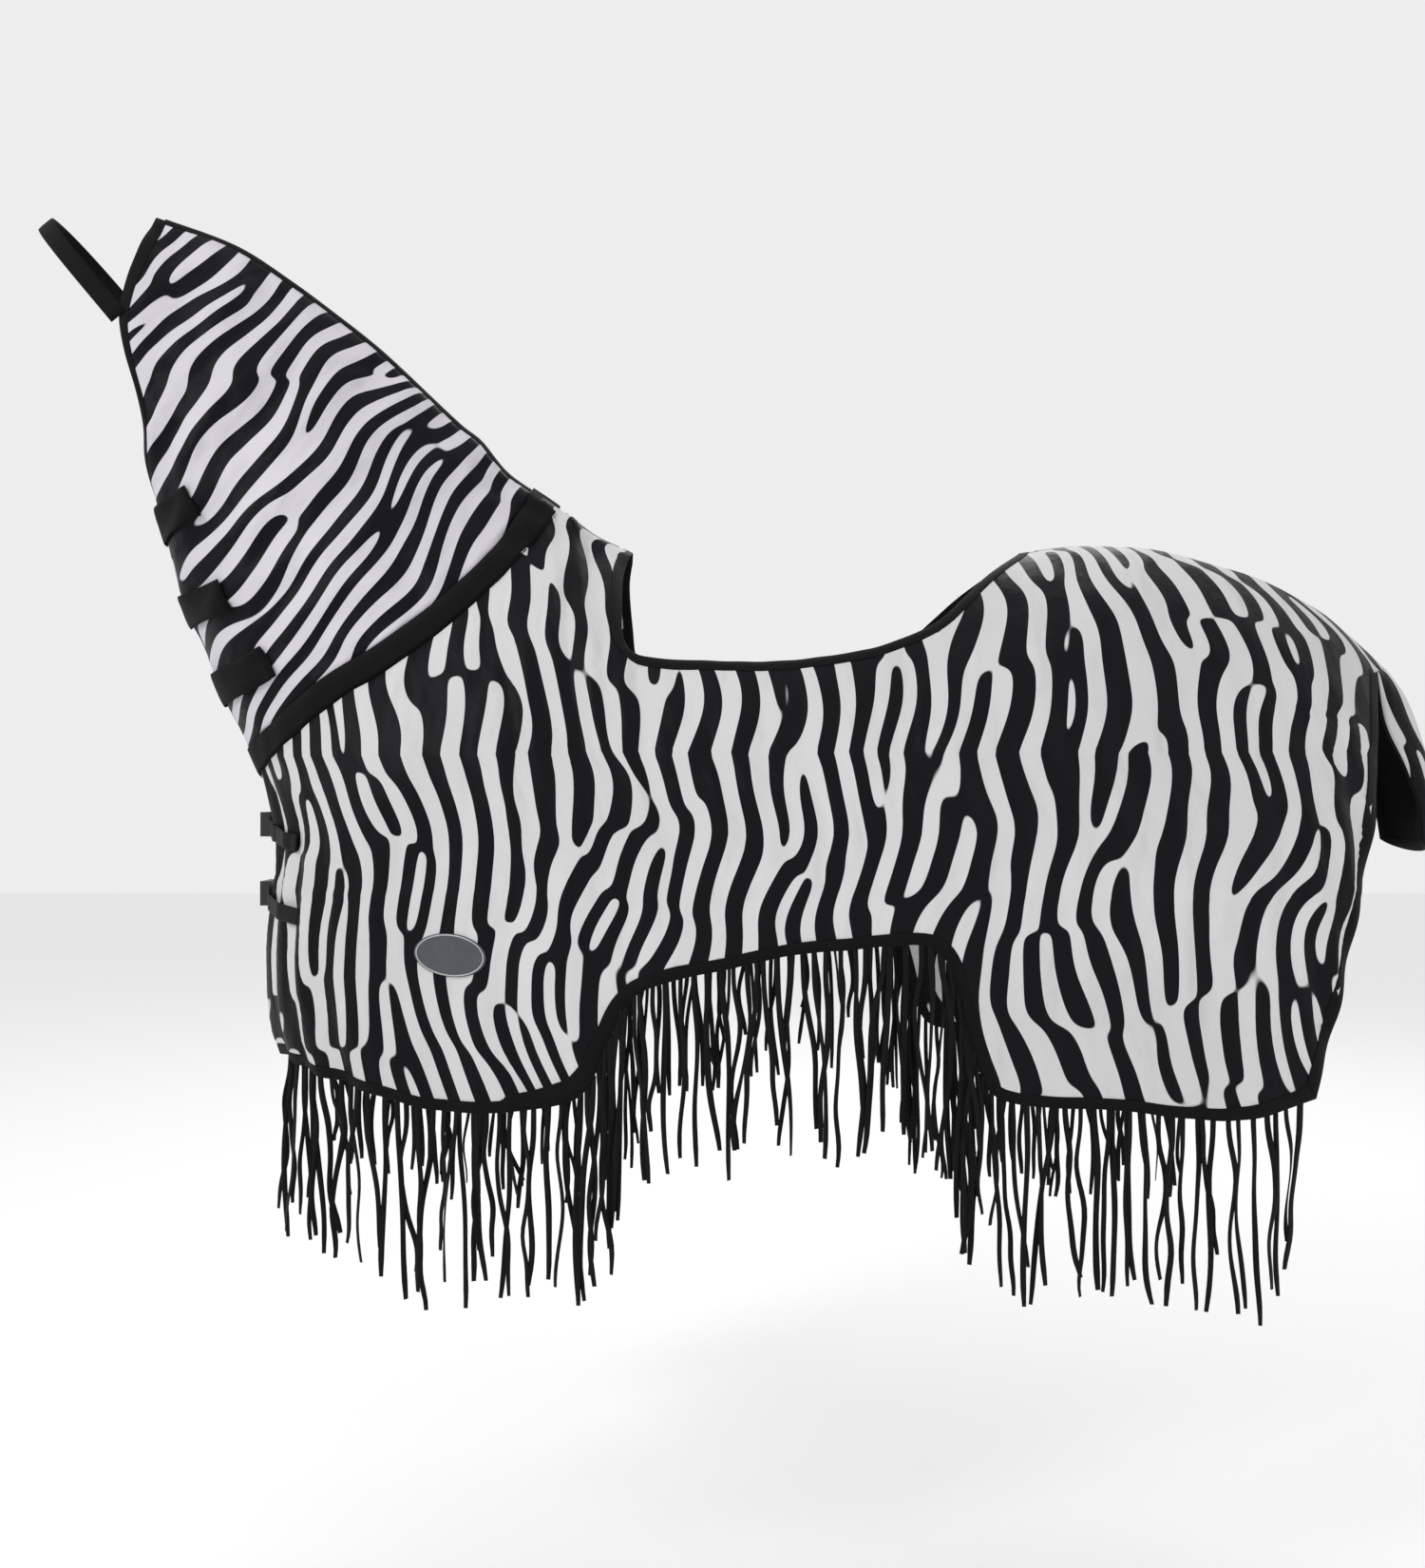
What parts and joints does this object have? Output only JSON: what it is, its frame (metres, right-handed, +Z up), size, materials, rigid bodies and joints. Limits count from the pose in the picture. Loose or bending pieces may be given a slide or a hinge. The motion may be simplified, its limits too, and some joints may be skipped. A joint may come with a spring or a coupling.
{
  "type": "horse fly sheet",
  "caption": "Zebra-print mesh horse fly sheet with neck cover, saddle cut-out, chest buckles, tail flap and fringed hem, in its worn shape.",
  "frame": {"origin": "front top corner of the saddle cut-out in the middle plane, where the sheet rests on the horse's withers", "axes": "+X towards the tail, +Y to the horse's right, +Z up"},
  "size_m": [2.1744, 0.6482, 1.6516],
  "materials": {
    "zebra_mesh": "fine polyester mesh, black and off-white zebra print, matt",
    "black_binding": "black woven edge tape, matt",
    "black_fringe": "black cut fabric strips, slight sheen",
    "hook_loop": "black hook-and-loop tape, fuzzy",
    "tail_lining": "black lining cloth, matt",
    "buckle_plastic": "black moulded nylon, satin",
    "badge_rubber": "moulded soft rubber, dark grey with a light rim line"
  },
  "bodies": {
    "body_sheet": {"badge": "badge_rubber", "buckle_socket_lower": "buckle_plastic", "buckle_socket_upper": "buckle_plastic", "chest_strap_lower_right": "black_binding", "chest_strap_upper_right": "black_binding", "croup_seam_tape": "black_binding", "front_binding_left": "black_binding", "front_binding_right": "black_binding", "hem_binding_left": "black_binding", "hem_binding_right": "black_binding", "neckline_loop_band_left": "hook_loop", "neckline_loop_band_right": "hook_loop", "rear_binding_left": "black_binding", "rear_binding_right": "black_binding", "saddle_binding_left": "black_binding", "saddle_binding_right": "black_binding", "side_panel_left": "zebra_mesh", "side_panel_right": "zebra_mesh", "withers_seam_tape": "black_binding"},
    "neck_cover": {"neck_panel_left": "zebra_mesh", "neck_panel_right": "zebra_mesh", "crest_seam_tape": "black_binding", "neck_front_binding_left": "black_binding", "neck_front_binding_right": "black_binding", "throat_binding_left": "black_binding", "throat_binding_right": "black_binding", "neck_hook_band_left": "hook_loop", "neck_hook_band_right": "hook_loop", "throat_loop_pad_upper": "hook_loop", "throat_loop_pad_middle": "hook_loop", "throat_loop_pad_lower": "hook_loop"},
    "throat_strap_upper": {"throat_strap_upper": "hook_loop"},
    "throat_strap_middle": {"throat_strap_middle": "hook_loop"},
    "throat_strap_lower": {"throat_strap_lower": "hook_loop"},
    "browband": {"browband": "black_binding"},
    "chest_closure_upper": {"buckle_plug_upper": "buckle_plastic", "chest_strap_upper_left": "black_binding"},
    "chest_closure_lower": {"buckle_plug_lower": "buckle_plastic", "chest_strap_lower_left": "black_binding"},
    "tail_flap": {"tail_flap": "zebra_mesh", "tail_flap_lining": "tail_lining", "tail_flap_binding": "black_binding"},
    "fringe_chest_left": {"fringe_chest_left": "black_fringe"},
    "fringe_chest_right": {"fringe_chest_right": "black_fringe"},
    "fringe_shoulder_left": {"fringe_shoulder_left": "black_fringe"},
    "fringe_shoulder_right": {"fringe_shoulder_right": "black_fringe"},
    "fringe_notch_front_left": {"fringe_notch_front_left": "black_fringe"},
    "fringe_notch_front_right": {"fringe_notch_front_right": "black_fringe"},
    "fringe_belly_left": {"fringe_belly_left": "black_fringe"},
    "fringe_belly_right": {"fringe_belly_right": "black_fringe"},
    "fringe_notch_rear_left": {"fringe_notch_rear_left": "black_fringe"},
    "fringe_notch_rear_right": {"fringe_notch_rear_right": "black_fringe"},
    "fringe_flank_left": {"fringe_flank_left": "black_fringe"},
    "fringe_flank_right": {"fringe_flank_right": "black_fringe"},
    "fringe_quarter_left": {"fringe_quarter_left": "black_fringe"},
    "fringe_quarter_right": {"fringe_quarter_right": "black_fringe"}
  },
  "joints": [
    {"name": "neck_cover_detach", "type": "slide", "parent": "body_sheet", "child": "neck_cover", "axis": [-0.8083, 0, 0.5888], "range_m": [0, 0.3]},
    {"name": "throat_strap_upper_peel", "type": "hinge", "parent": "neck_cover", "child": "throat_strap_upper", "pos_m": [-0.74035, 0.03791, 0.06285], "axis": [0.2794, 0.067, -0.9578], "range_deg": [0, 100]},
    {"name": "throat_strap_middle_peel", "type": "hinge", "parent": "neck_cover", "child": "throat_strap_middle", "pos_m": [-0.70234, 0.04203, -0.07492], "axis": [0.3679, 0.0586, -0.928], "range_deg": [0, 100]},
    {"name": "throat_strap_lower_peel", "type": "hinge", "parent": "neck_cover", "child": "throat_strap_lower", "pos_m": [-0.64725, 0.04488, -0.2067], "axis": [0.3806, 0.0464, -0.9236], "range_deg": [0, 100]},
    {"name": "browband_turn", "type": "hinge", "parent": "neck_cover", "child": "browband", "pos_m": [-0.775, 0, 0.346], "axis": [0, 1, 0], "range_deg": [-55, 12]},
    {"name": "chest_buckle_upper_release", "type": "slide", "parent": "body_sheet", "child": "chest_closure_upper", "axis": [0, -1, 0], "range_m": [0, 0.03]},
    {"name": "chest_buckle_lower_release", "type": "slide", "parent": "body_sheet", "child": "chest_closure_lower", "axis": [0, -1, 0], "range_m": [0, 0.03]},
    {"name": "tail_flap_lift", "type": "hinge", "parent": "body_sheet", "child": "tail_flap", "pos_m": [1.184, 0, -0.182], "axis": [0, -1, 0], "range_deg": [0, 70]},
    {"name": "fringe_chest_left_sway", "type": "hinge", "parent": "body_sheet", "child": "fringe_chest_left", "pos_m": [-0.42876, -0.20062, -0.78988], "axis": [-0.796, 0.5867, 0.1488], "range_deg": [-12, 18]},
    {"name": "fringe_chest_right_sway", "type": "hinge", "parent": "body_sheet", "child": "fringe_chest_right", "pos_m": [-0.42876, 0.20062, -0.78988], "axis": [0.796, 0.5867, -0.1488], "range_deg": [-12, 18]},
    {"name": "fringe_shoulder_left_sway", "type": "hinge", "parent": "body_sheet", "child": "fringe_shoulder_left", "pos_m": [-0.20011, -0.27049, -0.8217], "axis": [-0.9914, 0.1302, -0.0103], "range_deg": [-20, 30]},
    {"name": "fringe_shoulder_right_sway", "type": "hinge", "parent": "body_sheet", "child": "fringe_shoulder_right", "pos_m": [-0.20011, 0.27049, -0.8217], "axis": [0.9914, 0.1302, 0.0103], "range_deg": [-20, 30]},
    {"name": "fringe_notch_front_left_sway", "type": "hinge", "parent": "body_sheet", "child": "fringe_notch_front_left", "pos_m": [-0.01758, -0.29275, -0.73133], "axis": [-0.4636, 0.0566, -0.8843], "range_deg": [-20, 25]},
    {"name": "fringe_notch_front_right_sway", "type": "hinge", "parent": "body_sheet", "child": "fringe_notch_front_right", "pos_m": [-0.01758, 0.29275, -0.73133], "axis": [0.4636, 0.0566, 0.8843], "range_deg": [-20, 25]},
    {"name": "fringe_belly_left_sway", "type": "hinge", "parent": "body_sheet", "child": "fringe_belly_left", "pos_m": [0.22478, -0.31453, -0.60999], "axis": [-0.9849, 0.0577, -0.1631], "range_deg": [-20, 30]},
    {"name": "fringe_belly_right_sway", "type": "hinge", "parent": "body_sheet", "child": "fringe_belly_right", "pos_m": [0.22478, 0.31453, -0.60999], "axis": [0.9849, 0.0577, 0.1631], "range_deg": [-20, 30]},
    {"name": "fringe_notch_rear_left_sway", "type": "hinge", "parent": "body_sheet", "child": "fringe_notch_rear_left", "pos_m": [0.46924, -0.32103, -0.69367], "axis": [-0.3094, -0.0082, 0.9509], "range_deg": [-20, 25]},
    {"name": "fringe_notch_rear_right_sway", "type": "hinge", "parent": "body_sheet", "child": "fringe_notch_rear_right", "pos_m": [0.46924, 0.32103, -0.69367], "axis": [0.3094, -0.0082, -0.9509], "range_deg": [-20, 25]},
    {"name": "fringe_flank_left_sway", "type": "hinge", "parent": "body_sheet", "child": "fringe_flank_left", "pos_m": [0.6203, -0.31511, -0.8102], "axis": [-0.9914, -0.0426, 0.1235], "range_deg": [-20, 30]},
    {"name": "fringe_flank_right_sway", "type": "hinge", "parent": "body_sheet", "child": "fringe_flank_right", "pos_m": [0.6203, 0.31511, -0.8102], "axis": [0.9914, -0.0426, -0.1235], "range_deg": [-20, 30]},
    {"name": "fringe_quarter_left_sway", "type": "hinge", "parent": "body_sheet", "child": "fringe_quarter_left", "pos_m": [0.8429, -0.30102, -0.82597], "axis": [-0.9954, -0.0934, -0.0222], "range_deg": [-20, 30]},
    {"name": "fringe_quarter_right_sway", "type": "hinge", "parent": "body_sheet", "child": "fringe_quarter_right", "pos_m": [0.8429, 0.30102, -0.82597], "axis": [0.9954, -0.0934, 0.0222], "range_deg": [-20, 30]}
  ]
}
